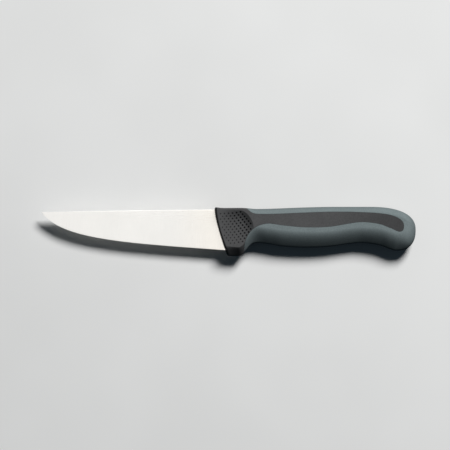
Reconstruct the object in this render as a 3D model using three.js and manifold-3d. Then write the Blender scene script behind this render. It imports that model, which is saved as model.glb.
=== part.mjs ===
// Meat knife with a two-component moulded handle, lying on its side.
// Three pieces: a stamped steel blade with a hidden tang, a hard core moulded round the tang, and a soft
// grip moulded over the core. Lengths are millimetres. While a piece is drawn, +X runs from the blade to the
// butt of the handle, +Y from the cutting edge to the spine and Z across the thickness, with the zero point
// on the spine where the steel enters the handle. At the end the knife is moved onto its side, with the
// origin under the middle of its box.
import * as THREE from "three";
import { mergeVertices } from "three/addons/utils/BufferGeometryUtils.js";
import Module from "manifold-3d";

const wasm = await Module();
wasm.setup();

// Driving dimensions: blade
const BLADE_LENGTH = 130; // heel to tip, along the knife
const BLADE_HEIGHT = 28.6; // spine to cutting edge at the heel
const BLADE_THICKNESS = 2; // the steel strip
const TIP_DROP = 1.7; // how far the spine falls to the tip
const TIP_SWEEP = 14.1; // length of the tip's own curve, to its control point
const TIP_DEPTH = 19.5; // how deep that curve's control point lies under the tip
const BELLY_REACH = 58.7; // from the tip to the control point of the long curve
const BELLY_RISE = 5.2; // how far that point lies above the heel
const GRIND_HEIGHT = 18; // ground flank, above the edge bevel
const EDGE_THICKNESS = 0.5; // steel left behind the edge bevel
const EDGE_BEVEL = 0.8; // height of the sharpened bevel
const EDGE_LAND = 0.1; // width of the cutting edge itself

// Driving dimensions: tang
const BLADE_SEAT = 6; // full-height steel inside the handle, behind the heel
const TANG_LENGTH = 86; // behind the seat
const TANG_ROOT_HEIGHT = 11;
const TANG_END_HEIGHT = 7.5;
const TANG_AXIS_DROP = 11; // tang's middle line, below the spine
const TANG_HOLE = 5; // diameter
const TANG_HOLE_COUNT = 3;

// Driving dimensions: handle
const HANDLE_THICKNESS = 21;
const COLLAR_RISE = 1.2; // collar above the spine
const COLLAR_LIP = 0.5; // further rise at the front edge
const COLLAR_LIP_LENGTH = 5; // over which the collar's top falls back from it
const GUARD_DROP = 4.1; // finger guard below the heel
const FRONT_SWEEP = 7.5; // how far the collar's front edge curves back at the heel
const FRONT_UPRIGHT = 7.4; // how far below the spine that curve keeps heading straight down
const FRONT_ROUND = 0.9; // rounding of the collar's front edge
const FRONT_FACE = 6; // width of the flat front face round the steel
const FRONT_DRAFT = 1.2; // length over which the collar widens from it to its sides
const COLLAR_TAPER = 3.2; // how far each side of the collar is drawn in at the front
const TAPER_START = 2.5; // from where the sides widen to the full thickness, behind the front edge
const COLLAR_LENGTH = 14; // top of the front edge to the middle of the guard's foot
const NOTCH_FROM_GUARD = 16.5; // to the bottom of the forefinger notch
const SWELL_FROM_NOTCH = 33.5; // to the lowest point of the palm swell
const RING_FROM_SWELL = 40; // to the top of the little finger's hollow
const HOOK_FROM_RING = 24; // to the lowest point of the hook
const BUTT_FROM_HOOK = 13.8; // to the end of the handle
const HOOK_HEIGHT = 30.9; // crown of the back to the lowest point of the hook
const NECK_DIP = 0.75; // back behind the collar, below the collar's top
const BACK_CROWN = 1.5; // highest point of the back, above the neck
const BUTT_DROP = 16.4; // rearmost point, below the crown
const BUTT_ROUND = 8.4; // length over which the sides round off at the butt
const BUTT_TURN = 32.8; // length over which the back turns down to the butt

// Driving dimensions: cross-section
const COLLAR_EDGE = 1; // rounding of the collar's top edges
const GUARD_FLANK = 6.8; // slanted flank under the guard
const STRIP_HEIGHT = 3.45; // slanted shoulder along the back
const STRIP_TAIL = 4.6; // the same shoulder at the butt
const SHOULDER_WIDTH = 5; // how far that shoulder reaches in from the flat side
const FLANK_HEIGHT = 11.3; // slanted flank of the belly
const HOOK_FLANK = 12.2; // the same flank at the hook
const FLANK_KNEE = 0.187; // share of that height that the knee at its top pulls straight down
const FLANK_SLANT_DOWN = 0.481; // share of the height where the slant's own pull lies
const FLANK_SLANT_IN = 0.205; // and its share of the flank's width
const LAND_HEIGHT = 3.1; // flat lip between the flank and the panel
const KEEL_WIDTH = 2.8; // between the flanks of the two sides, along the bottom of the belly
const OVAL_START = 3; // where the belly's section starts to turn oval, before the hook's lowest point

// Driving dimensions: soft grip, panel and thumb dish
const SKIN = 2.6; // thickness of the soft grip
const NOTCH_PANEL = 6.05; // height of the side panel at the notch
const SWELL_PANEL = 10.85; // at the swell, counted from the crown's shoulder
const RING_PANEL = 7.55; // at the hollow, counted from the crown's shoulder
const PANEL_TURN = 10; // where the panel's upper edge starts to turn down, before the hook's lowest point
const PANEL_TAIL = 5.3; // rearmost point of the panel, behind the hook's lowest point
const PANEL_TAIL_DROP = 13.4; // and below the crown of the back
const PANEL_HEEL = 3; // where the panel's lower edge starts to turn, before the hook's lowest point
const PANEL_TOE = 2.2; // lowest point of the panel's end, behind the hook's lowest point
const PANEL_TOE_DROP = 17.5; // and below the crown of the back
const STRIP_START = 8.3; // grip on the back, behind the middle of the guard
const LIP_START = 6.8; // grip on the belly, behind the middle of the guard
const LIP_SWEEP = 18; // length of the curve from that lip to the panel
const LIP_STAND = 4.5; // how far below the notch the lip starts to curve
const ANCHOR_COUNT = 4; // soft plugs through the core that lock the grip's two sides
const ANCHOR = 4; // diameter
const DISH_DEPTH = 2.9; // thumb dish, below the collar's side at most
const DISH_WALL = 7.2; // distance inside the rim over which the dish slopes down to its floor
const DISH_BACK = 7; // middle of the dish, behind the middle of the guard
const DISH_DROP = 10; // and below the spine
const DISH_LENGTH = 19; // from its middle to where it runs out towards the blade
const DISH_HEIGHT = 20.5; // and towards the guard
const RIM_DROP = 1.6; // upper rim of the dish, below the top of the collar
const RIM_BACK = 13.4; // rear rim, behind the middle of the guard
const RIM_TURN = 9.9; // length over which the upper rim turns into the rear rim
const RIM_FALL = 12.8; // height over which it does so

const FIT_GAP = 0.3; // between pieces that are moulded on each other

// Values that follow
const HALF = HANDLE_THICKNESS / 2;
const HEEL_X = FRONT_SWEEP;
const TIP_X = HEEL_X - BLADE_LENGTH;
const GUARD_Y = -BLADE_HEIGHT - GUARD_DROP;
const GUARD_X = COLLAR_LENGTH;
const NOTCH_X = GUARD_X + NOTCH_FROM_GUARD;
const SWELL_X = NOTCH_X + SWELL_FROM_NOTCH;
const RING_X = SWELL_X + RING_FROM_SWELL;
const HOOK_X = RING_X + HOOK_FROM_RING;
const END_X = HOOK_X + BUTT_FROM_HOOK;
const NECK_Y = COLLAR_RISE - NECK_DIP;
const CROWN_Y = NECK_Y + BACK_CROWN;
const GRIP_HEIGHT = STRIP_HEIGHT + LAND_HEIGHT + FLANK_HEIGHT;
const NOTCH_Y = NECK_Y - GRIP_HEIGHT - NOTCH_PANEL;
const SWELL_Y = CROWN_Y - GRIP_HEIGHT - SWELL_PANEL;
const RING_Y = CROWN_Y - GRIP_HEIGHT - RING_PANEL;
const HOOK_Y = CROWN_Y - HOOK_HEIGHT;
const BUTT_Y = CROWN_Y - BUTT_DROP;
const SEAT_X = HEEL_X + BLADE_SEAT;
const TONGUE_START = GUARD_X + 2;
const UPRIGHT_X = GUARD_X + LIP_START;
const RIM_X = GUARD_X + RIM_BACK;
const PRISM_DEPTH = 2 * HANDLE_THICKNESS;

// Smooth curve through points of rising x, with slopes taken from the neighbours, as a function of x.
function through(points) {
  const slope = points.map((point, i) => {
    const before = points[Math.max(i - 1, 0)];
    const after = points[Math.min(i + 1, points.length - 1)];
    return (after[1] - before[1]) / (after[0] - before[0]);
  });
  slope[0] = 0;
  slope[points.length - 1] = 0;
  return (x) => {
    if (x <= points[0][0]) return points[0][1];
    const i = points.findIndex((point, k) => k > 0 && x <= point[0]);
    if (i < 0) return points[points.length - 1][1];
    const [x0, y0] = points[i - 1];
    const [x1, y1] = points[i];
    const span = x1 - x0;
    const t = (x - x0) / span;
    const a = slope[i - 1] * span - (y1 - y0);
    const b = (y1 - y0) - slope[i] * span;
    return y0 + t * (y1 - y0) + t * (1 - t) * (a * (1 - t) + b * t);
  };
}

// Quarter of a superellipse: 1 at u = 0, falling to 0 at u = 1.
function quarter(u, power) {
  return Math.pow(Math.max(0, 1 - Math.pow(Math.min(1, Math.max(0, u)), power)), 1 / power);
}

// Solid of a closed geometry, and geometry of a solid.
function toSolid(geometry) {
  const bare = geometry.clone();
  bare.deleteAttribute("normal");
  bare.deleteAttribute("uv");
  const merged = mergeVertices(bare, 1e-4);
  return new wasm.Manifold(
    new wasm.Mesh({
      numProp: 3,
      vertProperties: new Float32Array(merged.attributes.position.array),
      triVerts: new Uint32Array(merged.index.array),
    }),
  );
}

function toGeometry(solid) {
  const mesh = solid.getMesh();
  const geometry = new THREE.BufferGeometry();
  geometry.setAttribute("position", new THREE.BufferAttribute(mesh.vertProperties, 3));
  geometry.setIndex(new THREE.BufferAttribute(mesh.triVerts, 1));
  geometry.computeVertexNormals();
  return geometry;
}

// Closed skin over rings of points that are mirrored in Z. A half ring runs from the spine side to the edge
// side with z above zero, in the order of rising x. A ring of one point closes that end, and a longer one
// gets a flat cap.
function skinOver(halfRings) {
  const positions = [];
  const indices = [];
  const rings = halfRings.map((half) => {
    const add = (p) => positions.push(p.x, p.y, p.z) / 3 - 1;
    if (half.length === 1) return { point: add(half[0]) };
    const left = half.map(add);
    const right = half.map((p) => add(new THREE.Vector3(p.x, p.y, -p.z)));
    return { left, right, loop: [...left, ...right.slice().reverse()] };
  });
  for (let i = 0; i + 1 < rings.length; i++) {
    const a = rings[i];
    const b = rings[i + 1];
    const count = (a.loop ?? b.loop).length;
    for (let k = 0; k < count; k++) {
      const n = (k + 1) % count;
      if (a.loop) indices.push(a.loop[k], a.loop[n], b.loop ? b.loop[k] : b.point);
      if (b.loop) indices.push(a.loop ? a.loop[n] : a.point, b.loop[n], b.loop[k]);
    }
  }
  const cap = (ring, turned) => {
    if (!ring.loop) return;
    for (let k = 0; k + 1 < ring.left.length; k++) {
      const [a, b, c, d] = [ring.left[k], ring.left[k + 1], ring.right[k + 1], ring.right[k]];
      if (turned) indices.push(a, c, b, a, d, c);
      else indices.push(a, b, c, a, c, d);
    }
  };
  cap(rings[0], true);
  cap(rings[rings.length - 1], false);
  const geometry = new THREE.BufferGeometry();
  geometry.setAttribute("position", new THREE.Float32BufferAttribute(positions, 3));
  geometry.setIndex(indices);
  return toSolid(geometry);
}

// Prism of a plan outline, centred on the blade's plane.
function prism(shape, thickness) {
  const settings = { depth: thickness, bevelEnabled: false, curveSegments: 6 };
  const geometry = new THREE.ExtrudeGeometry(shape, settings);
  geometry.translate(0, 0, -thickness / 2);
  return toSolid(geometry);
}

// Round pin across the thickness.
function crossPin(x, y, diameter, length) {
  const geometry = new THREE.CylinderGeometry(diameter / 2, diameter / 2, length, 20);
  geometry.rotateX(Math.PI / 2);
  geometry.translate(x, y, 0);
  return toSolid(geometry);
}

// Blade: flat stamped strip with ground flanks and a sharpened bevel
const EDGE_CURVE = new THREE.CubicBezierCurve(
  new THREE.Vector2(TIP_X, -TIP_DROP),
  new THREE.Vector2(TIP_X + TIP_SWEEP, -TIP_DROP - TIP_DEPTH),
  new THREE.Vector2(TIP_X + BELLY_REACH, -BLADE_HEIGHT + BELLY_RISE),
  new THREE.Vector2(HEEL_X, -BLADE_HEIGHT),
);
const EDGE_STEPS = 24;
const SPINE_CURVE_POWER = 1.5;

function spineY(x) {
  return -TIP_DROP * Math.pow(Math.max(0, x / TIP_X), SPINE_CURVE_POWER);
}

// One half section of the blade, grown all round by the clearance of the slot that it sits in.
function bladeSection(x, edgeY, grow) {
  const top = spineY(x);
  const height = top - edgeY;
  const bevel = Math.min(EDGE_BEVEL, height / 4);
  const flank = Math.min(GRIND_HEIGHT, height * 0.96 - bevel);
  const thickness = EDGE_THICKNESS + (BLADE_THICKNESS - EDGE_THICKNESS) * (flank / GRIND_HEIGHT);
  return [
    new THREE.Vector3(x, top + grow, thickness / 2 + grow),
    new THREE.Vector3(x, edgeY + bevel + flank, thickness / 2 + grow),
    new THREE.Vector3(x, edgeY + bevel, EDGE_THICKNESS / 2 + grow),
    new THREE.Vector3(x, edgeY - grow, EDGE_LAND / 2 + grow),
  ];
}

function bladeBody(grow) {
  const rings = [[new THREE.Vector3(TIP_X - grow, -TIP_DROP, 0)]];
  for (let i = 1; i <= EDGE_STEPS; i++) {
    const point = EDGE_CURVE.getPoint(Math.pow(i / EDGE_STEPS, 1.5));
    rings.push(bladeSection(point.x, point.y, grow));
  }
  rings.push(bladeSection(SEAT_X + grow, -BLADE_HEIGHT, grow));
  return skinOver(rings);
}

// Tang: narrow tail of the same strip, tapering to a round end
const TANG_START = HEEL_X;
const TANG_END = SEAT_X + TANG_LENGTH;

function tangHalfHeight(x) {
  const share = (x - SEAT_X) / TANG_LENGTH;
  return (TANG_ROOT_HEIGHT + (TANG_END_HEIGHT - TANG_ROOT_HEIGHT) * share) / 2;
}

function tangBody(grow) {
  const root = tangHalfHeight(TANG_START) + grow;
  const round = TANG_END_HEIGHT / 2 + grow;
  const centreX = TANG_END - TANG_END_HEIGHT / 2;
  const shape = new THREE.Shape();
  shape.moveTo(TANG_START, -TANG_AXIS_DROP - root);
  shape.lineTo(centreX, -TANG_AXIS_DROP - round);
  shape.absarc(centreX, -TANG_AXIS_DROP, round, -Math.PI / 2, Math.PI / 2, false);
  shape.lineTo(TANG_START, -TANG_AXIS_DROP + root);
  return prism(shape, BLADE_THICKNESS + 2 * grow);
}

function tangPins(diameter, length) {
  const pitch = TANG_LENGTH / TANG_HOLE_COUNT;
  return Array.from({ length: TANG_HOLE_COUNT }, (_, i) =>
    crossPin(SEAT_X + pitch * (i + 0.5), -TANG_AXIS_DROP, diameter, length),
  );
}

function makeBlade() {
  let steel = bladeBody(0).add(tangBody(0));
  for (const hole of tangPins(TANG_HOLE, PRISM_DEPTH)) steel = steel.subtract(hole);
  return steel;
}

// Handle form: the outer surface that core and grip share. Both lines run from point to point of the handle,
// with a few points between, each given by its share of the way along and its share of the way up or down.
const mix = (a, b, share) => a + (b - a) * share;
const between = (from, to, shares) =>
  shares.map(([along, way]) => [mix(from[0], to[0], along), mix(from[1], to[1], way)]);
const TURN_X = END_X - BUTT_TURN;
const GUARD = [GUARD_X, GUARD_Y];
const NOTCH = [NOTCH_X, NOTCH_Y];
const SWELL = [SWELL_X, SWELL_Y];
const RING = [RING_X, RING_Y];
const HOOK = [HOOK_X, HOOK_Y];
const NECK = [NOTCH_X, NECK_Y];
const CROWN = [mix(SWELL_X, TURN_X, 0.45), CROWN_Y];
const NECK_START = mix(GUARD_X, NOTCH_X, 0.34);
const backLine = through([
  [0, COLLAR_RISE + COLLAR_LIP],
  [COLLAR_LIP_LENGTH, COLLAR_RISE],
  [NECK_START, COLLAR_RISE],
  NECK,
  ...between(NECK, CROWN, [[0.62, 0.73]]),
  CROWN,
]);
const bellyLine = through([
  GUARD,
  ...between(GUARD, NOTCH, [[0.32, 0.16], [0.485, 0.46], [0.61, 0.735], [0.78, 0.94]]),
  NOTCH,
  ...between(NOTCH, SWELL, [[0.25, 0.32], [0.5, 0.74]]),
  SWELL,
  ...between(SWELL, RING, [[0.43, 0.215], [0.79, 0.815]]),
  RING,
  ...between(RING, HOOK, [[0.52, 0.32], [0.82, 0.8]]),
  HOOK,
]);
const BUTT_POWER = 2.4;

function backY(x) {
  return x <= TURN_X ? backLine(x) : mix(BUTT_Y, CROWN_Y, quarter((x - TURN_X) / BUTT_TURN, BUTT_POWER));
}

function bellyY(x) {
  return x <= HOOK_X ? bellyLine(x) : mix(BUTT_Y, HOOK_Y, quarter((x - HOOK_X) / BUTT_FROM_HOOK, BUTT_POWER));
}

// Collar's front edge: straight down at the spine, then curving back to the heel, as a parabola.
function frontX(y) {
  const bend = COLLAR_RISE + 2 * FRONT_UPRIGHT - BLADE_HEIGHT;
  const fall = 2 * (FRONT_UPRIGHT + COLLAR_RISE);
  const drop = COLLAR_RISE - y;
  const share = (2 * drop) / (fall + Math.sqrt(fall * fall - 4 * bend * drop));
  return FRONT_SWEEP * share * share;
}

// Station of the section through a place. In front of the grip the sections lean with the collar's front
// edge.
function stationAt(place) {
  const lean = frontX(place.y);
  return place.x < UPRIGHT_X ? (place.x - lean) / (1 - lean / UPRIGHT_X) : place.x;
}

// Sizes of the section along the handle: the back's shoulder, the half thickness, the lower flank, and how
// far the flank has turned oval.
const shoulderHeight = through([
  [NECK_START, COLLAR_EDGE],
  [NOTCH_X, STRIP_HEIGHT],
  [mix(SWELL_X, RING_X, 0.75), STRIP_HEIGHT],
  [HOOK_X, STRIP_TAIL],
]);
const halfThickness = through([
  [TAPER_START, HALF - COLLAR_TAPER],
  [RIM_X, HALF],
]);
const shoulderWidth = through([
  [NECK_START, COLLAR_EDGE],
  [NOTCH_X, SHOULDER_WIDTH],
]);
const flankHeight = through([
  [GUARD_X, GUARD_FLANK],
  [NOTCH_X, FLANK_HEIGHT],
  [RING_X, FLANK_HEIGHT],
  [HOOK_X, HOOK_FLANK],
]);
const ovalness = through([
  [HOOK_X - OVAL_START, 0],
  [END_X, 1],
]);
const SHOULDER_POWER = 1.7;

// Flank of the belly, as shares of its height downwards and of its width inwards: a knee and a slant that
// turns in more and more.
const FLANK_CURVE = new THREE.CubicBezierCurve(
  new THREE.Vector2(0, 0),
  new THREE.Vector2(FLANK_KNEE, 0),
  new THREE.Vector2(FLANK_SLANT_DOWN, FLANK_SLANT_IN),
  new THREE.Vector2(1, 1),
);
const SLANT_END = 0.95; // share of that curve where it rounds off into the keel
const KEEL_FLAT = 0.45; // share of the keel's width that the rounding leaves flat
const OVAL_IN = 0.95; // share of the half thickness that the oval turns in by

// Lower part of a section, from the flat side to the keel, as shares of its height downwards and of the half
// thickness inwards. At the butt it is a quarter of an ellipse.
function flankPoints(steps, oval) {
  const keel = KEEL_WIDTH / HANDLE_THICKNESS;
  const slant = Array.from({ length: steps + 1 }, (_, i) => FLANK_CURVE.getPoint((SLANT_END * i) / steps));
  const belly = [...slant.map(({ x, y }) => [x, y * (1 - keel)]), [1, 1 - KEEL_FLAT * keel]];
  return belly.map(([down, inward], i) => {
    const turn = (Math.PI / 2) * (i / (steps + 1));
    return [mix(down, Math.sin(turn), oval), mix(inward, OVAL_IN * (1 - Math.cos(turn)), oval)];
  });
}

// How finely each surface is cut: steps round the shoulder, down the flat side, round the flank and round the
// butt, and spacing of the sections along the handle and at the forefinger notch.
const OUTSIDE = { shoulder: 4, flat: 5, flank: 6, butt: 6, pitch: 4.8, notchPitch: 2.4 };
const INSIDE = { shoulder: 2, flat: 1, flank: 3, butt: 3, pitch: 9, notchPitch: 5 };

// Half section at a station, drawn inwards by the inset, and by the rounding and the draft of the front edge.
function handleSection(station, inset, detail, shear) {
  const round = inset > 0 ? 0 : FRONT_ROUND * (1 - quarter(1 - station / FRONT_ROUND, 2));
  const widening = HALF - COLLAR_TAPER - FRONT_FACE / 2;
  const draft = inset > 0 ? 0 : widening * Math.max(0, 1 - station / FRONT_DRAFT);
  const taper = quarter((station - (END_X - inset - BUTT_ROUND)) / BUTT_ROUND, 2);
  const side = (halfThickness(station) - inset) * taper - draft;
  const top = backY(station + inset * (1 - taper)) - inset - round;
  const bottom = bellyY(station + inset * (1 - taper)) + inset + round;
  const height = top - bottom;
  const shoulder = Math.min(shoulderHeight(station), height * 0.3);
  const flank = Math.min(flankHeight(station), height * 0.65);
  const shoulderIn = Math.min(shoulderWidth(station), side * 0.8);
  const points = [];
  const place = (y, z) => points.push(new THREE.Vector3(station + shear(y), y, z));
  for (let i = 0; i <= detail.shoulder; i++) {
    const angle = (Math.PI / 2) * (1 - i / detail.shoulder);
    const up = Math.pow(Math.sin(angle), 2 / SHOULDER_POWER);
    const out = Math.pow(Math.cos(angle), 2 / SHOULDER_POWER);
    place(top - shoulder * (1 - up), side - shoulderIn * (1 - out));
  }
  for (let i = 1; i < detail.flat; i++) place(mix(top - shoulder, bottom + flank, i / detail.flat), side);
  for (const [down, inward] of flankPoints(detail.flank, ovalness(station))) {
    place(bottom + flank * (1 - down), side * (1 - inward));
  }
  return points;
}

// Stations from a first one to the butt, closer together at the notch and where the butt rounds off.
function stationsTo(endX, firstX, detail) {
  const spread = (from, to, pitch) => {
    const steps = Math.ceil((to - from) / pitch);
    return Array.from({ length: steps }, (_, i) => mix(from, to, i / steps));
  };
  const notchFrom = Math.max(firstX, GUARD_X);
  const roundX = endX - BUTT_ROUND;
  const turned = Array.from(
    { length: detail.butt },
    (_, i) => roundX + BUTT_ROUND * Math.sin(((Math.PI / 2) * i) / detail.butt),
  );
  return [
    ...spread(firstX, notchFrom, detail.pitch),
    ...spread(notchFrom, NOTCH_X, detail.notchPitch),
    ...spread(NOTCH_X, roundX, detail.pitch),
    ...turned,
  ];
}

// Whole outside of the handle. Its sections lean with the collar's front edge, and stand straight behind the
// collar.
function outerForm() {
  const stations = [0, 0.25 * FRONT_ROUND, ...stationsTo(END_X, Math.max(FRONT_ROUND, FRONT_DRAFT), OUTSIDE)];
  const rings = stations.map((station) => {
    const lean = Math.max(0, 1 - station / UPRIGHT_X);
    return handleSection(station, 0, OUTSIDE, (y) => lean * frontX(y));
  });
  return skinOver([...rings, [new THREE.Vector3(END_X, BUTT_Y, 0)]]);
}

// Tongue of the core under the grip: the same form drawn in by the grip's thickness.
function tongueForm(inset) {
  const stations = stationsTo(END_X - inset, TONGUE_START, INSIDE);
  const rings = stations.map((station) => handleSection(station, inset, INSIDE, () => 0));
  return skinOver([...rings, [new THREE.Vector3(END_X - inset, BUTT_Y, 0)]]);
}

// Plan of the core's visible face: collar, neck and side panel. Shrunk, it leaves the gap round the core.
function windowShape(shrink) {
  const outside = 3 * HANDLE_THICKNESS;
  const upper = (x) => backY(x) - shoulderHeight(x) - shrink;
  const lower = (x) => bellyY(x) + FLANK_HEIGHT + LAND_HEIGHT + shrink;
  const stripX = GUARD_X + STRIP_START - shrink;
  const lipX = GUARD_X + LIP_START - shrink;
  const panelX = lipX + LIP_SWEEP;
  const panelY = lower(panelX);
  const heelX = HOOK_X - PANEL_HEEL;
  const toeX = HOOK_X + PANEL_TOE;
  const toeY = CROWN_Y - PANEL_TOE_DROP + shrink;
  const tailX = HOOK_X + PANEL_TAIL - shrink;
  const tailY = CROWN_Y - PANEL_TAIL_DROP;
  const turnX = HOOK_X - PANEL_TURN;
  const turnY = upper(turnX);
  const neckY = upper(NOTCH_X);
  const along = (edge, from, to) =>
    Array.from({ length: 8 }, (_, i) => {
      const x = mix(from, to, (i + 1) / 8);
      return new THREE.Vector2(x, edge(x));
    });
  const shape = new THREE.Shape();
  shape.moveTo(-outside, outside);
  shape.lineTo(-outside, GUARD_Y - outside);
  shape.lineTo(lipX, GUARD_Y - outside);
  shape.lineTo(lipX, NOTCH_Y - LIP_STAND);
  shape.bezierCurveTo(lipX, mix(NOTCH_Y, panelY, 0.45), mix(lipX, panelX, 0.4), panelY, panelX, panelY);
  shape.splineThru(along(lower, panelX, heelX));
  shape.quadraticCurveTo(mix(heelX, toeX, 0.7), toeY, toeX, toeY);
  shape.quadraticCurveTo(tailX, toeY, tailX, tailY);
  shape.bezierCurveTo(
    tailX, mix(tailY, turnY, 0.55),
    mix(tailX, turnX, 0.41), mix(turnY, tailY, 0.11),
    turnX, turnY,
  );
  shape.splineThru(along(upper, turnX, NOTCH_X));
  shape.bezierCurveTo(
    mix(NOTCH_X, stripX, 0.6), neckY,
    mix(stripX, NOTCH_X, 0.25), mix(COLLAR_RISE, neckY, 0.4),
    stripX, COLLAR_RISE,
  );
  shape.lineTo(stripX, outside);
  return shape;
}

// Thumb dish: its rim runs up behind it, round, and forward above it. Its floor runs out towards the blade
// and the guard.
const DISH_MIDDLE = new THREE.Vector2(GUARD_X + DISH_BACK, -DISH_DROP);
const RIM_Y = COLLAR_RISE - RIM_DROP;
const RIM_TURN_Y = RIM_Y - RIM_FALL;
const RIM = new THREE.Path()
  .moveTo(RIM_X, -BLADE_HEIGHT)
  .lineTo(RIM_X, RIM_TURN_Y)
  .bezierCurveTo(RIM_X, mix(RIM_TURN_Y, RIM_Y, 0.41), RIM_X - 0.49 * RIM_TURN, RIM_Y, RIM_X - RIM_TURN, RIM_Y)
  .lineTo(0, RIM_Y)
  .getSpacedPoints(120);
const RIM_FROM_MIDDLE = RIM.map((point) => point.clone().sub(DISH_MIDDLE));

// How far the dish reaches from its middle, in a direction from -PI to PI.
function dishReach(angle) {
  const runOut = 1 / Math.hypot(Math.cos(angle) / DISH_LENGTH, Math.sin(angle) / DISH_HEIGHT);
  const towards = (point) => Math.atan2(point.y, point.x);
  const i = RIM_FROM_MIDDLE.findIndex((point) => towards(point) > angle);
  if (i <= 0) return runOut;
  const [before, after] = [RIM_FROM_MIDDLE[i - 1], RIM_FROM_MIDDLE[i]];
  const share = (angle - towards(before)) / (towards(after) - towards(before));
  return Math.min(runOut, mix(before.length(), after.length(), share));
}

function dishDepth(place) {
  const fromRim = Math.min(...RIM.map((point) => point.distanceTo(place)));
  const wall = 1 - Math.pow(1 - Math.min(1, fromRim / DISH_WALL), 2);
  const out = Math.hypot((place.x - DISH_MIDDLE.x) / DISH_LENGTH, (place.y - DISH_MIDDLE.y) / DISH_HEIGHT);
  return DISH_DEPTH * wall * Math.pow(Math.max(0, 1 - out * out), 1.5);
}

// Tool for the dish on the side of the collar that faces +Z or -Z: rings of points round the dish's middle.
function dishTool(side) {
  const rays = 30;
  const clear = 0.02;
  const positions = [];
  const indices = [];
  const add = (place, height) => positions.push(place.x, place.y, side * height) / 3 - 1;
  const face = (a, b, c) => (side > 0 ? indices.push(a, b, c) : indices.push(a, c, b));
  const directions = Array.from({ length: rays }, (_, k) => -Math.PI + (2 * Math.PI * (k + 0.5)) / rays);
  const ringAt = (share, heightOf) =>
    directions.map((angle) => {
      const out = share * dishReach(angle);
      const place = new THREE.Vector2(Math.cos(angle), Math.sin(angle)).multiplyScalar(out).add(DISH_MIDDLE);
      return add(place, heightOf(place));
    });
  const floorAt = (place) => halfThickness(stationAt(place)) - dishDepth(place) + clear;
  const lidAt = () => HALF + DISH_DEPTH;
  const middle = add(DISH_MIDDLE, floorAt(DISH_MIDDLE));
  const lid = add(DISH_MIDDLE, lidAt());
  const rings = [0.25, 0.5, 0.75, 1].map((share) => ringAt(share, floorAt));
  rings.push(ringAt(1, lidAt));
  for (let k = 0; k < rays; k++) {
    const n = (k + 1) % rays;
    face(middle, rings[0][n], rings[0][k]);
    for (let i = 0; i + 1 < rings.length; i++) {
      const [inner, outer] = [rings[i], rings[i + 1]];
      face(inner[k], inner[n], outer[n]);
      face(inner[k], outer[n], outer[k]);
    }
    face(rings[rings.length - 1][k], rings[rings.length - 1][n], lid);
  }
  const geometry = new THREE.BufferGeometry();
  geometry.setAttribute("position", new THREE.Float32BufferAttribute(positions, 3));
  geometry.setIndex(indices);
  return toSolid(geometry);
}

// Soft plugs through the core, midway between the tang and the belly of the tongue.
function anchorPins(diameter) {
  const from = NOTCH_X + LIP_SWEEP / 2;
  const pitch = (HOOK_X - from) / ANCHOR_COUNT;
  return Array.from({ length: ANCHOR_COUNT }, (_, i) => {
    const x = from + pitch * (i + 0.5);
    const tangUnder = -TANG_AXIS_DROP - tangHalfHeight(Math.min(x, TANG_END));
    const y = (tangUnder + bellyY(x) + SKIN) / 2;
    return crossPin(x, y, diameter, HANDLE_THICKNESS - 2 * SKIN + 1);
  });
}

function makeCore() {
  let core = outerForm().intersect(prism(windowShape(FIT_GAP), PRISM_DEPTH));
  core = core.add(tongueForm(SKIN + FIT_GAP));
  let slot = bladeBody(FIT_GAP).add(tangBody(FIT_GAP));
  for (const plug of tangPins(TANG_HOLE - 2 * FIT_GAP, PRISM_DEPTH)) slot = slot.subtract(plug);
  core = core.subtract(slot);
  for (const side of [1, -1]) core = core.subtract(dishTool(side));
  for (const hole of anchorPins(ANCHOR + 2 * FIT_GAP)) core = core.subtract(hole);
  return core;
}

function makeGrip() {
  let hollow = tongueForm(SKIN);
  for (const plug of anchorPins(ANCHOR)) hollow = hollow.subtract(plug);
  return outerForm().subtract(prism(windowShape(0), PRISM_DEPTH)).subtract(hollow);
}

// Assembly
function piece(name, solid, material) {
  const mesh = new THREE.Mesh(toGeometry(solid), material);
  mesh.name = name;
  return mesh;
}

const steel = new THREE.MeshStandardMaterial({ color: 0xf1f0ec, roughness: 0.28, metalness: 1 });
const hardPlastic = new THREE.MeshStandardMaterial({ color: 0x474747, roughness: 0.6, metalness: 0 });
const softPlastic = new THREE.MeshStandardMaterial({ color: 0x7b8586, roughness: 0.7, metalness: 0 });

const lying = new THREE.Group();
lying.add(piece("blade", makeBlade(), steel));
lying.add(piece("handle_core", makeCore(), hardPlastic));
lying.add(piece("soft_grip", makeGrip(), softPlastic));

const box = new THREE.Box3().setFromObject(lying);
const middle = box.getCenter(new THREE.Vector3());
lying.position.set(-middle.x, -middle.y, -box.min.z);

const knife = new THREE.Group();
knife.add(lying);

export default knife;
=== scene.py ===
"""Meat knife with a two-component moulded handle, lying on its side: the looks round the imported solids.

A piece is drawn in millimetres, with +X from the blade to the butt of the handle, +Y from the cutting edge
to the spine and Z across the thickness, and the zero point on the spine where the steel enters the handle.
Its finished mesh is then moved into the part's frame, in metres.
"""
import math

import bpy
import numpy as np
from mathutils import Matrix, Vector


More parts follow.
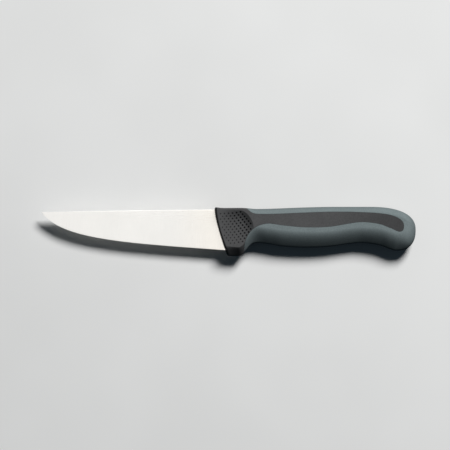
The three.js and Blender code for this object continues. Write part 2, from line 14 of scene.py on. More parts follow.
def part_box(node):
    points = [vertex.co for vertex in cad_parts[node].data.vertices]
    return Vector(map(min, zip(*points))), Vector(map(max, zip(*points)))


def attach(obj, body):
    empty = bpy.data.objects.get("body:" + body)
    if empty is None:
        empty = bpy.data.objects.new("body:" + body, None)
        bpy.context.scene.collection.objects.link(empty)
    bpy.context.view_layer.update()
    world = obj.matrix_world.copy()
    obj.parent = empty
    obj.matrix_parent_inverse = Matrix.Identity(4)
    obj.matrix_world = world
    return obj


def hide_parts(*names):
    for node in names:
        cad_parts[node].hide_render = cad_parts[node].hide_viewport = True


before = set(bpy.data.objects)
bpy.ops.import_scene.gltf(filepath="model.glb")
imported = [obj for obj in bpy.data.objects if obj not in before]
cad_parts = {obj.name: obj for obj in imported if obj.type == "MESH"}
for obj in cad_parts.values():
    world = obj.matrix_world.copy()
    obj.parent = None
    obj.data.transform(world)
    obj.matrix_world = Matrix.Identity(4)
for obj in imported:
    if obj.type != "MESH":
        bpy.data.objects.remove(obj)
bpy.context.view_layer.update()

# Blade: one stamped strip of stainless steel, with both flanks ground thin and a fine bevel along the edge.
# The strip keeps its full thickness between the grind and the spine. Its tang, a narrow tail with three
# holes, is inside the handle, where the core is moulded round it.
HEEL_X = 7.5
BLADE_LENGTH = 130.0
BLADE_HEIGHT = 28.6
STRIP_THICKNESS = 2.0
STRIP_STEPS = 5
TIP_X = HEEL_X - BLADE_LENGTH
TIP_DROP = 1.7
TIP_PULL = (14.1, 19.5)  # how far behind and below the tip the edge's curve heads for at first
HEEL_PULL = (58.7, 5.2)  # how far behind the tip and above the heel it comes from at last
SPINE_CURVE_POWER = 1.5
SPINE_ROUND = 0.2
ROUND_MIDDLE = 0.3  # share of a rounding's radius by which its middle lies inside both faces
GRIND_HEIGHT = 18.0
GRIND_BLEND = 4.0
GRIND_STEPS = 9
MOST_GROUND = 0.96  # share of the blade's height that the grind and bevel may take near the tip
EDGE_THICKNESS = 0.5
EDGE_BEVEL = 0.8
EDGE_LAND = 0.04
EDGE_STEPS = 200
SLOT_STRIDE = 10  # steps of the edge that one step of the slot spans
SEAT_DEPTH = 6.0
BLADE_SEAT_X = HEEL_X + SEAT_DEPTH
TANG_LENGTH = 86.0
TANG_END_X = BLADE_SEAT_X + TANG_LENGTH
TANG_END_STEPS = 12
TANG_ROOT_HEIGHT = 11.0
TANG_END_HEIGHT = 7.5
TANG_AXIS_Y = -11.0
TANG_HOLE = 5.0
TANG_HOLES_X = [BLADE_SEAT_X + TANG_LENGTH * share for share in (1 / 6, 3 / 6, 5 / 6)]
PIN_SIDES = 32
ACROSS = 40.0  # longer than any piece is thick, for tools that go right through
MILLIMETRE = 0.001
PLAIN_STEEL = (0.783, 0.771, 0.741, 1), (0.858, 0.846, 0.815, 1)
# The warmer steel towards the heel is a painted reflection of the collar.
STEEL_WITH_COLLAR_REFLECTION = (0.790, 0.757, 0.700, 1), (0.925, 0.889, 0.827, 1)
COLLAR_REFLECTION_SPAN = (-0.045, -0.005)  # from where to where along the blade, in metres, the steel turns warmer
GROUND_LIFT = 0.4
BEVEL_BLEND = 0.1
DOWN_THE_FLANK = (1.0, 0.02, 0.02)
ALONG_THE_STRIP = (0.03, 1.0, 1.0)
NOISE_SPAN = (0.3, 0.7)  # nearly all of a noise's values

# The drawing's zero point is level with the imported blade's spine, a known length behind its tip.
blade_low, blade_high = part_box("blade")
ZERO_POINT = (blade_low.x - TIP_X * MILLIMETRE, blade_high.y, (blade_low.z + blade_high.z) / 2)
INTO_FRAME = Matrix.Translation(ZERO_POINT) @ Matrix.Scale(MILLIMETRE, 4)


def mix(start, end, share):
    return start + (end - start) * share


def bezier(start, start_pull, end_pull, end, steps):
    """Points of a cubic curve, with its start left out so that curves can follow each other."""
    t = np.linspace(0, 1, steps + 1)[1:, None]
    pulls = 3 * (1 - t) ** 2 * t * np.array(start_pull) + 3 * (1 - t) * t**2 * np.array(end_pull)
    return (1 - t) ** 3 * np.array(start) + pulls + t**3 * np.array(end)


def drawn(name, points, faces):
    mesh = bpy.data.meshes.new(name)
    mesh.from_pydata([tuple(map(float, p)) for p in points], [], [tuple(map(int, f)) for f in faces])
    piece = bpy.data.objects.new(name, mesh)
    bpy.context.scene.collection.objects.link(piece)
    return piece


def skin(name, half_rings, front_point=None, rear_point=None):
    """Closed skin over half rings of rising x, mirrored in the blade's plane.

    A point closes each end or, where none is given, a flat cap.
    """
    halves = np.array(half_rings)
    loops = np.concatenate([halves, halves[:, ::-1] * (1, 1, -1)], axis=1)
    count = loops.shape[1]
    points = list(loops.reshape(-1, 3))
    rings = np.arange(len(points)).reshape(-1, count)
    faces = []
    for ring, following in zip(rings[:-1], rings[1:]):
        for k in range(count):
            n = (k + 1) % count
            faces.append((ring[k], ring[n], following[n], following[k]))
    for ring, point, turn in ((rings[0], front_point, -1), (rings[-1], rear_point, 1)):
        if point is None:
            for k in range(count // 2 - 1):
                faces.append((ring[k], ring[k + 1], ring[count - 2 - k], ring[count - 1 - k])[::turn])
        else:
            points.append(point)
            for k in range(count):
                faces.append((ring[k], ring[(k + 1) % count], len(points) - 1)[::turn])
    return drawn(name, points, faces)


def prism(name, outline, thickness):
    """Prism of an anticlockwise plan outline, centred on the blade's plane."""
    count = len(outline)
    points = [(x, y, z) for z in (-thickness / 2, thickness / 2) for x, y in outline]
    faces = [(k, (k + 1) % count, count + (k + 1) % count, count + k) for k in range(count)]
    faces += [range(count)[::-1], range(count, 2 * count)]
    return drawn(name, points, faces)


def cross_pin(x, y, diameter, length):
    turn = np.linspace(0, 2 * math.pi, PIN_SIDES + 1)[:-1]
    circle = np.stack([x + diameter / 2 * np.cos(turn), y + diameter / 2 * np.sin(turn)], axis=1)
    return prism("pin", circle, length)


def joined(piece, tool, operation):
    """Applies a Boolean of the piece with a tool, and removes the tool."""
    step = piece.modifiers.new(operation, "BOOLEAN")
    step.operation = operation
    step.solver = "MANIFOLD"
    step.material_mode = "TRANSFER"
    step.object = tool
    solid = bpy.data.meshes.new_from_object(piece.evaluated_get(bpy.context.evaluated_depsgraph_get()))
    piece.modifiers.remove(step)
    spent = [piece.data, tool.data]
    piece.data = solid
    bpy.data.objects.remove(tool)
    for mesh in spent:
        bpy.data.meshes.remove(mesh)


def painted(piece, material):
    piece.data.materials.clear()
    piece.data.materials.append(material)


def finished(piece, sharp_degrees):
    """Moves a drawn piece into the part's frame, and shades it smooth between its sharp edges."""
    piece.data.transform(INTO_FRAME)
    piece.data.shade_smooth()
    piece.data.set_sharp_from_angle(angle=math.radians(sharp_degrees))
    even = piece.modifiers.new("even shading", "WEIGHTED_NORMAL")
    even.keep_sharp = True
    shaded = bpy.data.meshes.new_from_object(piece.evaluated_get(bpy.context.evaluated_depsgraph_get()))
    piece.modifiers.remove(even)
    spent = piece.data
    piece.data = shaded
    bpy.data.meshes.remove(spent)


EDGE_LINE = bezier(
    (TIP_X, -TIP_DROP),
    (TIP_X + TIP_PULL[0], -TIP_DROP - TIP_PULL[1]),
    (TIP_X + HEEL_PULL[0], -BLADE_HEIGHT + HEEL_PULL[1]),
    (HEEL_X, -BLADE_HEIGHT),
    EDGE_STEPS,
)


def blade_half_ring(x, edge_y, grow):
    """From the spine down to the edge, grown all round where it is the slot that the blade sits in."""
    top = -TIP_DROP * max(0.0, x / TIP_X) ** SPINE_CURVE_POWER
    height = top - edge_y
    bevel = min(EDGE_BEVEL, height / 4)
    flank = min(GRIND_HEIGHT, height * MOST_GROUND - bevel)
    line = bevel + flank
    shoulder = EDGE_THICKNESS / 2
    half = shoulder + (STRIP_THICKNESS / 2 - shoulder) * flank / GRIND_HEIGHT
    rounding = min(SPINE_ROUND, half / 2, (height - line) / 2)
    corner = ROUND_MIDDLE * rounding
    blend = min(GRIND_BLEND, (height - line - rounding) / 2, flank / 4)
    thinning = (half - shoulder) / flank * blend
    profile = [(height + grow, half - rounding), (height - corner + grow, half - corner)]
    for k in range(STRIP_STEPS + 1):
        profile.append((mix(height - rounding, line + blend, k / STRIP_STEPS), half))
    profile.append((line, half - thinning / 4))
    for k in range(GRIND_STEPS + 1):
        share = k / GRIND_STEPS
        profile.append((mix(line - blend, bevel, share), mix(half - thinning, shoulder, share)))
    profile += [(bevel / 2, mix(shoulder, EDGE_LAND / 2, 0.5)), (-grow, EDGE_LAND / 2)]
    return [(x, edge_y + up, out + grow) for up, out in profile]


def tang_half_height(x):
    share = (x - BLADE_SEAT_X) / (TANG_END_X - BLADE_SEAT_X)
    return mix(TANG_ROOT_HEIGHT, TANG_END_HEIGHT, share) / 2


def steel_form(name, grow):
    """The blade with its tang or, grown, the slot for them, which needs fewer steps along the edge."""
    edge = list(EDGE_LINE[:: SLOT_STRIDE if grow else 1])
    rings = [blade_half_ring(x, y, grow) for x, y in edge]
    rings.append(blade_half_ring(BLADE_SEAT_X + grow, -BLADE_HEIGHT, grow))
    steel = skin(name, rings, front_point=(TIP_X - grow, -TIP_DROP, 0))
    root = tang_half_height(HEEL_X) + grow
    end = TANG_END_HEIGHT / 2 + grow
    turn = np.linspace(-math.pi / 2, math.pi / 2, TANG_END_STEPS + 1)
    round_end = np.stack([end * np.cos(turn) + TANG_END_X - TANG_END_HEIGHT / 2, end * np.sin(turn)], axis=1)
    outline = [(HEEL_X, TANG_AXIS_Y - root), *(round_end + (0, TANG_AXIS_Y)), (HEEL_X, TANG_AXIS_Y + root)]
    joined(steel, prism("tang", outline, STRIP_THICKNESS + 2 * grow), "UNION")
    return steel


class Tint:
    """A socket in a material's nodes. Arithmetic on it adds Math nodes, and node() adds any other kind."""

    def __init__(self, tree, socket=None):
        self.tree = tree
        self.socket = socket

    def node(self, kind, settings, values, output=0):
        made = self.tree.nodes.new(kind)
        for name, setting in settings.items():
            setattr(made, name, setting)
        for name, value in values.items():
            if isinstance(value, Tint):
                self.tree.links.new(value.socket, made.inputs[name])
            else:
                made.inputs[name].default_value = value
        return Tint(self.tree, made.outputs[output])

    def maths(self, operation, *values):
        return self.node("ShaderNodeMath", {"operation": operation}, dict(enumerate(values)))

    def __add__(self, other):
        return self.maths("ADD", self, other)

    def __sub__(self, other):
        return self.maths("SUBTRACT", self, other)

    def __rsub__(self, other):
        return self.maths("SUBTRACT", other, self)

    def __mul__(self, other):
        return self.maths("MULTIPLY", self, other)

    __radd__ = __add__
    __rmul__ = __mul__

    def ramp(self, low, high):
        """0 below low, 1 above high and smooth between."""
        settings = {"interpolation_type": "SMOOTHSTEP"}
        return self.node("ShaderNodeMapRange", settings, {"Value": self, "From Min": low, "From Max": high})

    def blend(self, first, second):
        """A colour between two, by this value."""
        settings = {"data_type": "RGBA", "clamp_factor": True}
        return self.node("ShaderNodeMix", settings, {0: self, 6: first, 7: second}, output=2)

    def bump(self, strength, depth):
        """A normal from this value as a height, in metres where it is 1."""
        return self.node("ShaderNodeBump", {}, {"Height": self, "Strength": strength, "Distance": depth})

    def noise(self, scale, detail, roughness):
        """Noise over the coordinates that this socket holds, with the scale in features per metre."""
        values = {"Vector": self, "Scale": scale, "Detail": detail, "Roughness": roughness}
        return self.node("ShaderNodeTexNoise", {}, values)

    def stretched(self, scale):
        return self.node("ShaderNodeMapping", {}, {"Vector": self, "Scale": scale})

    def along(self):
        """The X of the coordinates that this socket holds, which runs along the knife."""
        return self.node("ShaderNodeSeparateXYZ", {}, {0: self}, output="X")


def new_material(name):
    """A material with its shader, and the piece's own coordinates to draw its pattern on."""
    material = bpy.data.materials.new(name)
    material.use_nodes = True
    tree = material.node_tree
    place = Tint(tree).node("ShaderNodeTexCoord", {}, {}, output="Object")
    return material, tree.nodes["Principled BSDF"], place


def feed(shader, **varying):
    """Links what changes over a surface to the shader. Socket names are given with _ for a space."""
    for name, value in varying.items():
        value.tree.links.new(value.socket, shader.inputs[name.replace("_", " ")])


blade = steel_form("blade_steel", 0)
for hole_x in TANG_HOLES_X:
    joined(blade, cross_pin(hole_x, TANG_AXIS_Y, TANG_HOLE, ACROSS), "DIFFERENCE")

# Height of each point above the edge, in millimetres, tells the steel's three finishes apart.
blade_points = np.array([vertex.co for vertex in blade.data.vertices])
above_edge = blade_points[:, 1] - np.interp(blade_points[:, 0], EDGE_LINE[:, 0], EDGE_LINE[:, 1])
blade.data.attributes.new("above_edge", "FLOAT", "POINT").data.foreach_set("value", above_edge)

steel, steel_shader, on_steel = new_material("satin_ground_steel")
height_on_blade = on_steel.node("ShaderNodeAttribute", {"attribute_name": "above_edge"}, {}, output="Fac")
GRIND_LINE = EDGE_BEVEL + GRIND_HEIGHT
on_flat = height_on_blade.ramp(GRIND_LINE - GRIND_BLEND, GRIND_LINE + GRIND_BLEND)
on_bevel = 1 - height_on_blade.ramp(EDGE_BEVEL - BEVEL_BLEND, EDGE_BEVEL + BEVEL_BLEND)
# Fine lines: down the ground flank, and along the flat as the strip was rolled.
grind_lines = on_steel.stretched(DOWN_THE_FLANK).noise(scale=5200.0, detail=3.0, roughness=0.6)
rolled_lines = on_steel.stretched(ALONG_THE_STRIP).noise(scale=4200.0, detail=3.0, roughness=0.6)
lines = grind_lines * (1 - on_flat) + rolled_lines * on_flat
steel_cloud = on_steel.noise(scale=38.0, detail=3.0, roughness=0.55)
# The ground flank is a little brighter than the rolled flat.
uneven = (steel_cloud * 0.5 + lines * 0.5).ramp(*NOISE_SPAN)
steel_tone = (1 - GROUND_LIFT) * uneven + GROUND_LIFT * (1 - on_flat)
plain_steel = steel_tone.blend(*PLAIN_STEEL)
# Painted reflection: the steel turns warmer towards the collar.
steel_with_painted_reflection = steel_tone.blend(*STEEL_WITH_COLLAR_REFLECTION)
feed(
    steel_shader,
    Base_Color=on_steel.along().ramp(*COLLAR_REFLECTION_SPAN).blend(plain_steel, steel_with_painted_reflection),
    Roughness=0.20 + 0.10 * lines + 0.03 * on_flat - 0.05 * on_bevel,
    Normal=lines.bump(strength=0.25, depth=0.00001),
)
steel_shader.inputs["Metallic"].default_value = 1.0

painted(blade, steel)
finished(blade, sharp_degrees=25)
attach(blade, "root")
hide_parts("blade")

# Handle core: one moulding in hard dark plastic round the tang. Its outside shows as the collar with the
# finger guard, the neck and a panel on each side, and its tongue runs on under the soft grip. Each side of
# the collar has a shallow thumb dish with a rim above and behind.
HALF = 21.0 / 2
SKIN = 2.6
SEAM = 0.1

# The collar: its front edge, with how far each side draws in at places along it, its top and its taper.
FRONT_SWEEP = HEEL_X
FRONT_UPRIGHT = 7.4
FRONT_ROUND = 0.9
FRONT_X = -0.15
DRAFT_END_X = 1.5
FRONT_DRAFT = [(FRONT_X, 4.3), (1.2, 0.3), (1.3, 0.1), (DRAFT_END_X, 0.0)]
FRONT_STATIONS = [FRONT_X, 0.0, 0.1, 0.2, 0.4, 0.6, 0.9, 1.2, 1.3]
COLLAR_RISE = 1.2
COLLAR_LIP = 0.5
COLLAR_LIP_END_X = 5.0
COLLAR_EDGE = 1.0
COLLAR_TAPER = 3.2
TAPER_START_X = 2.5

# The outline in plan: guard, hollows and swells of the belly, then the back from the neck to the butt.
GUARD = (14.0, -32.7)
NOTCH = (30.5, -23.45)
SWELL = (64.0, -26.75)
RING = (104.0, -23.45)
HOOK = (128.0, -28.95)
NECK = (NOTCH[0], 0.45)
BUTT = (141.8, -14.45)
TURN_X = 109.0
CROWN = (mix(SWELL[0], TURN_X, 0.45), 1.95)
NECK_START_X = mix(GUARD[0], NOTCH[0], 0.34)
SWELL_END_X = mix(SWELL[0], RING[0], 0.4)
BUTT_ROUND = 8.4
BUTT_POWER = 2.4

# The strip along the back, and the shoulders that round it off.
STRIP_X = GUARD[0] + 8.3
STRIP_HEIGHT = 3.45
STRIP_EVEN_X = mix(SWELL[0], RING[0], 0.75)
STRIP_TAIL = 4.6
SHOULDER_WIDTH = 5.0
SHOULDER_POWER = 1.7
MOST_SHOULDER = 0.3  # the most that a shoulder may take of the handle's height
MOST_INWARD = 0.8  # the most that it may take of the half thickness

# The grip's lip behind the collar, and how far back the collar's rings still lean with its front edge.
LIP_X = GUARD[0] + 6.8
LIP_SWEEP = 18.0
LIP_STAND = 4.5
LIP_OVAL = (LIP_X + 1.0, 0.3)  # where the section by the lip is most oval, and by what share
LIP_OVAL_END_X = NOTCH[0] + 4.0
UPRIGHT_RUN = LIP_X - DRAFT_END_X

# The flank, from a knee along a slant to the keel. It is firmer by the guard, and turns oval at the butt.
GUARD_FLANK = 7.1
LIP_FLANK = (LIP_X + 4.5, 11.2)
SWELL_FLANK = 11.7
RING_FLANK = 11.3
HOOK_FLANK = 12.9
MOST_FLANK = 0.65  # the most that the flank may take of the handle's height
FLANK_KNEE = (0.187, 0.0)
FLANK_SLANT = (0.481, 0.205)
GUARD_KNEE = (0.12, 0.0)
GUARD_SLANT = (0.40, 0.25)
FIRM_END_X = LIP_X + 4.0
FIRM_GONE_X = NOTCH[0] + 6.0
OVAL_X = HOOK[0] - 3.0
KEEL_WIDTH = 2.8
KEEL_DEPTH = 0.995  # share of the half thickness where the keel ends, just off the blade's plane

# The rear end of the side panel.
PANEL_TURN_X = HOOK[0] - 10.0
PANEL_TAIL = (HOOK[0] + 5.3, CROWN[1] - 13.4)
PANEL_TOE = (HOOK[0] + 2.2, CROWN[1] - 17.5)
PANEL_HEEL_X = HOOK[0] - 3.0

# The plugs of the grip that cross the core.
ANCHOR = 4.0
ANCHOR_COUNT = 4
ANCHOR_OVERLAP = 0.5

# The thumb dish, which fades out over its reach, and its rim.
DISH_CENTRE = np.array((GUARD[0] + 7.0, -10.0))
DISH_DEPTH = 2.9
DISH_WALL = 7.2
DISH_REACH = (19.0, 20.5)
DISH_FADE_POWER = 1.5
DISH_RAYS = 180
DISH_RINGS = 39
RIM_X = GUARD[0] + 13.4
RIM_Y = COLLAR_RISE - 1.6
RIM_TURN = (9.9, 12.8)
RIM_STEPS = 60
RIM_OVERRUN = 0.3

# Steps of the seen and of the hidden meshes, and the colours of the hard plastic.
FINE_MESH = {"first_x": DRAFT_END_X, "pitch": 0.7, "butt_steps": 28, "ring_steps": (12, 24, 1)}
INNER_MESH = {"first_x": GUARD[0] + 2, "pitch": 4.0, "butt_steps": 6, "ring_steps": (4, 2, 4)}
HARD_FRONT = (0.071, 0.071, 0.072, 1), (0.091, 0.091, 0.092, 1)
# The panel's darker rear is painted shade.
HARD_REAR_PAINTED_SHADE = (0.046, 0.046, 0.047, 1), (0.058, 0.058, 0.059, 1)
HARD_SHADE_SPAN = (0.06, 0.14)  # from where to where along the panel, in metres, it turns darker


def through(points):
    """Smooth curve through points of rising x, level at both ends, as a function of x."""
    xs, ys = np.array(points, float).T
    slopes = np.zeros(len(xs))
    slopes[1:-1] = (ys[2:] - ys[:-2]) / (xs[2:] - xs[:-2])

    def height(x):
        x = np.clip(x, xs[0], xs[-1])
        i = np.clip(np.searchsorted(xs, x) - 1, 0, len(xs) - 2)
        span, rise = xs[i + 1] - xs[i], ys[i + 1] - ys[i]
        t = (x - xs[i]) / span
        lead, trail = slopes[i] * span - rise, rise - slopes[i + 1] * span
        return ys[i] + t * rise + t * (1 - t) * (lead * (1 - t) + trail * t)

    return height


def quarter(share, power):
    """Quarter of a superellipse: 1 at a share of 0, falling to 0 at 1."""
    return np.maximum(0, 1 - np.clip(share, 0, 1) ** power) ** (1 / power)


def at_most(length, limit):
    """The smaller of two lengths, with a smooth change from one to the other."""
    firmness = 8
    return (length**-firmness + limit**-firmness) ** (-1 / firmness)


def between(start, end, shares):
    return [(mix(start[0], end[0], along), mix(start[1], end[1], way)) for along, way in shares]


def rounded(start, corner, end, steps):
    """Curve from one point to another that rounds off the corner between them."""
    start, corner, end = np.array(start), np.array(corner), np.array(end)
    return bezier(start, mix(start, corner, 2 / 3), mix(end, corner, 2 / 3), end, steps)


back_line = through([
    (0.0, COLLAR_RISE + COLLAR_LIP),
    (COLLAR_LIP_END_X, COLLAR_RISE),
    (NECK_START_X, COLLAR_RISE),
    NECK,
    *between(NECK, CROWN, [(0.62, 0.73)]),
    CROWN,
])
belly_line = through([
    GUARD,
    *between(GUARD, NOTCH, [(0.32, 0.16), (0.485, 0.46), (0.61, 0.735), (0.78, 0.94)]),
    NOTCH,
    *between(NOTCH, SWELL, [(0.25, 0.32), (0.5, 0.74)]),
    SWELL,
    *between(SWELL, RING, [(0.43, 0.215), (0.79, 0.815)]),
    RING,
    *between(RING, HOOK, [(0.52, 0.32), (0.82, 0.8)]),
    HOOK,
])
shoulder_height = through([
    (NECK_START_X, COLLAR_EDGE),
    (NOTCH[0], STRIP_HEIGHT),
    (STRIP_EVEN_X, STRIP_HEIGHT),
    (HOOK[0], STRIP_TAIL),
])
shoulder_width = through([(NECK_START_X, COLLAR_EDGE), (NOTCH[0], SHOULDER_WIDTH)])
# How far above the belly the flank starts to slant.
flank_height = through([
    (GUARD[0], GUARD_FLANK),
    LIP_FLANK,
    (NOTCH[0], SWELL_FLANK),
    (SWELL[0], SWELL_FLANK),
    (SWELL_END_X, RING_FLANK),
    (RING[0], RING_FLANK),
    (HOOK[0], HOOK_FLANK),
])
# How far above the belly the panel's lower edge runs.
panel_height = through([
    (LIP_X + LIP_SWEEP, 14.7),
    (mix(NOTCH[0], SWELL[0], 0.45), 14.9),
    (SWELL[0], 14.3),
    (SWELL_END_X, 14.0),
    (mix(SWELL[0], RING[0], 0.82), 14.4),
    (mix(RING[0], HOOK[0], 0.35), 14.9),
    (PANEL_HEEL_X, 14.85),
])
guard_firmness = through([(FIRM_END_X, 1), (FIRM_GONE_X, 0)])
lip_ovalness = through([(GUARD[0], 0), LIP_OVAL, (LIP_OVAL_END_X, 0)])
butt_ovalness = through([(OVAL_X, 0), (BUTT[0], 1)])
half_thickness = through([(TAPER_START_X, HALF - COLLAR_TAPER), (RIM_X, HALF)])


def back_y(x):
    turned = mix(BUTT[1], CROWN[1], quarter((x - TURN_X) / (BUTT[0] - TURN_X), BUTT_POWER))
    return np.where(x <= TURN_X, back_line(x), turned)


def belly_y(x):
    turned = mix(BUTT[1], HOOK[1], quarter((x - HOOK[0]) / (BUTT[0] - HOOK[0]), BUTT_POWER))
    return np.where(x <= HOOK[0], belly_line(x), turned)


def front_x(y):
    """The collar's front edge: straight down at the spine, then curving back to the heel."""
    bend = COLLAR_RISE + 2 * FRONT_UPRIGHT - BLADE_HEIGHT
    fall = 2 * (FRONT_UPRIGHT + COLLAR_RISE)
    drop = COLLAR_RISE - y
    share = 2 * drop / (fall + np.sqrt(fall * fall - 4 * bend * drop))
    return FRONT_SWEEP * share * share


def flank_profile(knee, slant_pull):
    """Shares of the flank's height and of the half thickness: over a knee and a slant to the rounded keel."""
    corner = np.array((1, 1 - KEEL_WIDTH / 2 / HALF))
    slant = bezier((0, 0), knee, slant_pull, (1, 1), steps=20)[:-1] * corner
    return np.concatenate([slant, rounded(slant[-1], corner, (1, KEEL_DEPTH), steps=5)])


def oval_profile(count):
    """The same shares for a section that is oval below."""
    turn = np.linspace(0, math.pi / 2, count + 1)[1:]
    return np.stack([np.sin(turn), KEEL_DEPTH * (1 - np.cos(turn))], axis=1)


FLANK_PROFILE = flank_profile(FLANK_KNEE, FLANK_SLANT)
GUARD_PROFILE = flank_profile(GUARD_KNEE, GUARD_SLANT)
OVAL_PROFILE = oval_profile(len(FLANK_PROFILE))


def handle_half_ring(station, inset, shoulder_steps, flat_steps, flank_stride):
    """From the flat of the back down to the keel.

    The inset draws it in for the tongue and the hollow round it, which have no front edge.
    """
    taper = quarter((station - (BUTT[0] - inset - BUTT_ROUND)) / BUTT_ROUND, 2)
    side = (half_thickness(station) - inset) * taper
    along = station + inset * (1 - taper)
    top = back_y(along) - inset
    bottom = belly_y(along) + inset
    if not inset:
        rounding = FRONT_ROUND * (1 - quarter(1 - station / FRONT_ROUND, 2))
        side -= np.interp(station, *np.transpose(FRONT_DRAFT))
        top -= rounding
        bottom += rounding
    shoulder = at_most(shoulder_height(station), (top - bottom) * MOST_SHOULDER)
    flank = at_most(flank_height(station), (top - bottom) * MOST_FLANK)
    shoulder_in = at_most(shoulder_width(station), side * MOST_INWARD)
    turn = np.linspace(0, math.pi / 2, shoulder_steps + 1)
    bend = 2 / SHOULDER_POWER
    flat = np.linspace(0, 1, flat_steps + 1)[1:]
    slanted = mix(FLANK_PROFILE, GUARD_PROFILE, guard_firmness(station))
    profile = mix(slanted, OVAL_PROFILE, lip_ovalness(station) + butt_ovalness(station))
    down, inward = profile[flank_stride - 1 :: flank_stride].T
    y = np.concatenate([
        top - shoulder * (1 - np.cos(turn).clip(0) ** bend),
        mix(top - shoulder, bottom + flank, flat),
        bottom + flank * (1 - down),
    ])
    z = np.concatenate([
        side - shoulder_in * (1 - np.sin(turn) ** bend),
        np.full(flat_steps, side),
        side * (1 - inward),
    ])
    lean = 0.0 if inset else np.clip((LIP_X - station) / UPRIGHT_RUN, 0, 1)
    return np.stack([station + lean * front_x(y), y, z], axis=1)


def handle_form(name, inset, first_x, pitch, butt_steps, ring_steps):
    end_x = BUTT[0] - inset
    straight = np.arange(first_x, end_x - BUTT_ROUND, pitch)
    turn = np.linspace(0, math.pi / 2, butt_steps + 1)[:-1]
    stations = [*straight, *(end_x - BUTT_ROUND + BUTT_ROUND * np.sin(turn))]
    if not inset:
        stations = [*FRONT_STATIONS, *stations]
    rings = [handle_half_ring(station, inset, *ring_steps) for station in stations]
    return skin(name, rings, rear_point=(end_x, BUTT[1], 0))


def window(name, shrink):
    """Prism over the core's visible face, anticlockwise from the upper left.

    Shrunk, it leaves the seam round the core.
    """
    far = 60.0

    def upper(x):
        return back_y(x) - shoulder_height(x) - shrink

    def lower(x):
        return belly_y(x) + panel_height(x) + shrink

    strip_x, lip_x = STRIP_X - shrink, LIP_X - shrink
    lip = (lip_x, NOTCH[1] - LIP_STAND)
    panel = (lip_x + LIP_SWEEP, lower(lip_x + LIP_SWEEP))
    heel = (PANEL_HEEL_X, lower(PANEL_HEEL_X))
    toe = (PANEL_TOE[0], PANEL_TOE[1] + shrink)
    tail = (PANEL_TAIL[0] - shrink, PANEL_TAIL[1])
    turned = (PANEL_TURN_X, upper(PANEL_TURN_X))
    neck = (NOTCH[0], upper(NOTCH[0]))
    strip = (strip_x, COLLAR_RISE)
    lip_pull = (lip_x, mix(NOTCH[1], panel[1], 0.45))
    panel_pull = (mix(lip_x, panel[0], 0.4), panel[1])
    heel_corner = (mix(heel[0], toe[0], 0.7), toe[1])
    toe_corner = (tail[0], toe[1])
    tail_pull = (tail[0], mix(tail[1], turned[1], 0.55))
    turn_pull = (mix(tail[0], turned[0], 0.41), mix(turned[1], tail[1], 0.11))
    neck_pull = (mix(neck[0], strip_x, 0.6), neck[1])
    strip_pull = (mix(strip_x, neck[0], 0.25), mix(COLLAR_RISE, neck[1], 0.4))
    under = np.linspace(panel[0], heel[0], 80)[1:]
    over = np.linspace(turned[0], neck[0], 80)[1:]
    outline = [
        (-far, far),
        (-far, GUARD[1] - far),
        (lip_x, GUARD[1] - far),
        lip,
        *bezier(lip, lip_pull, panel_pull, panel, steps=30),
        *np.stack([under, lower(under)], axis=1),
        *rounded(heel, heel_corner, toe, steps=16),
        *rounded(toe, toe_corner, tail, steps=16),
        *bezier(tail, tail_pull, turn_pull, turned, steps=30),
        *np.stack([over, upper(over)], axis=1),
        *bezier(neck, neck_pull, strip_pull, strip, steps=20),
        (strip_x, far),
    ]
    return prism(name, outline, ACROSS)


def rim_line():
    """The dish's rim in plan: up behind it, round and forward above it."""
    turn_x, turn_y = RIM_X - RIM_TURN[0], RIM_Y - RIM_TURN[1]
    rear = [(RIM_X, y) for y in np.linspace(-BLADE_HEIGHT, turn_y, RIM_STEPS)]
    rear_pull = (RIM_X, mix(turn_y, RIM_Y, 0.41))
    above_pull = (mix(turn_x, RIM_X, 0.51), RIM_Y)
    turn = bezier(rear[-1], rear_pull, above_pull, (turn_x, RIM_Y), steps=80)
    above = [(x, RIM_Y) for x in np.linspace(turn_x, 0, RIM_STEPS)[1:]]
    return np.concatenate([rear, turn, above])


RIM = rim_line()


def rim_reach(angles):
    """Distance from the dish's middle to its rim, or far off in front and below, where it has none."""
    from_centre = RIM - DISH_CENTRE
    rim_angles = np.arctan2(from_centre[:, 1], from_centre[:, 0])
    return np.interp(angles, rim_angles, np.hypot(*from_centre.T), left=ACROSS, right=ACROSS)


def inside_rim(places):
    """Distance from the rim, below zero outside it."""
    from_rim = np.linalg.norm(places[..., None, :] - RIM, axis=-1).min(axis=-1)
    across, up = np.moveaxis(places - DISH_CENTRE, -1, 0)
    return np.where(np.hypot(across, up) < rim_reach(np.arctan2(up, across)), from_rim, -from_rim)


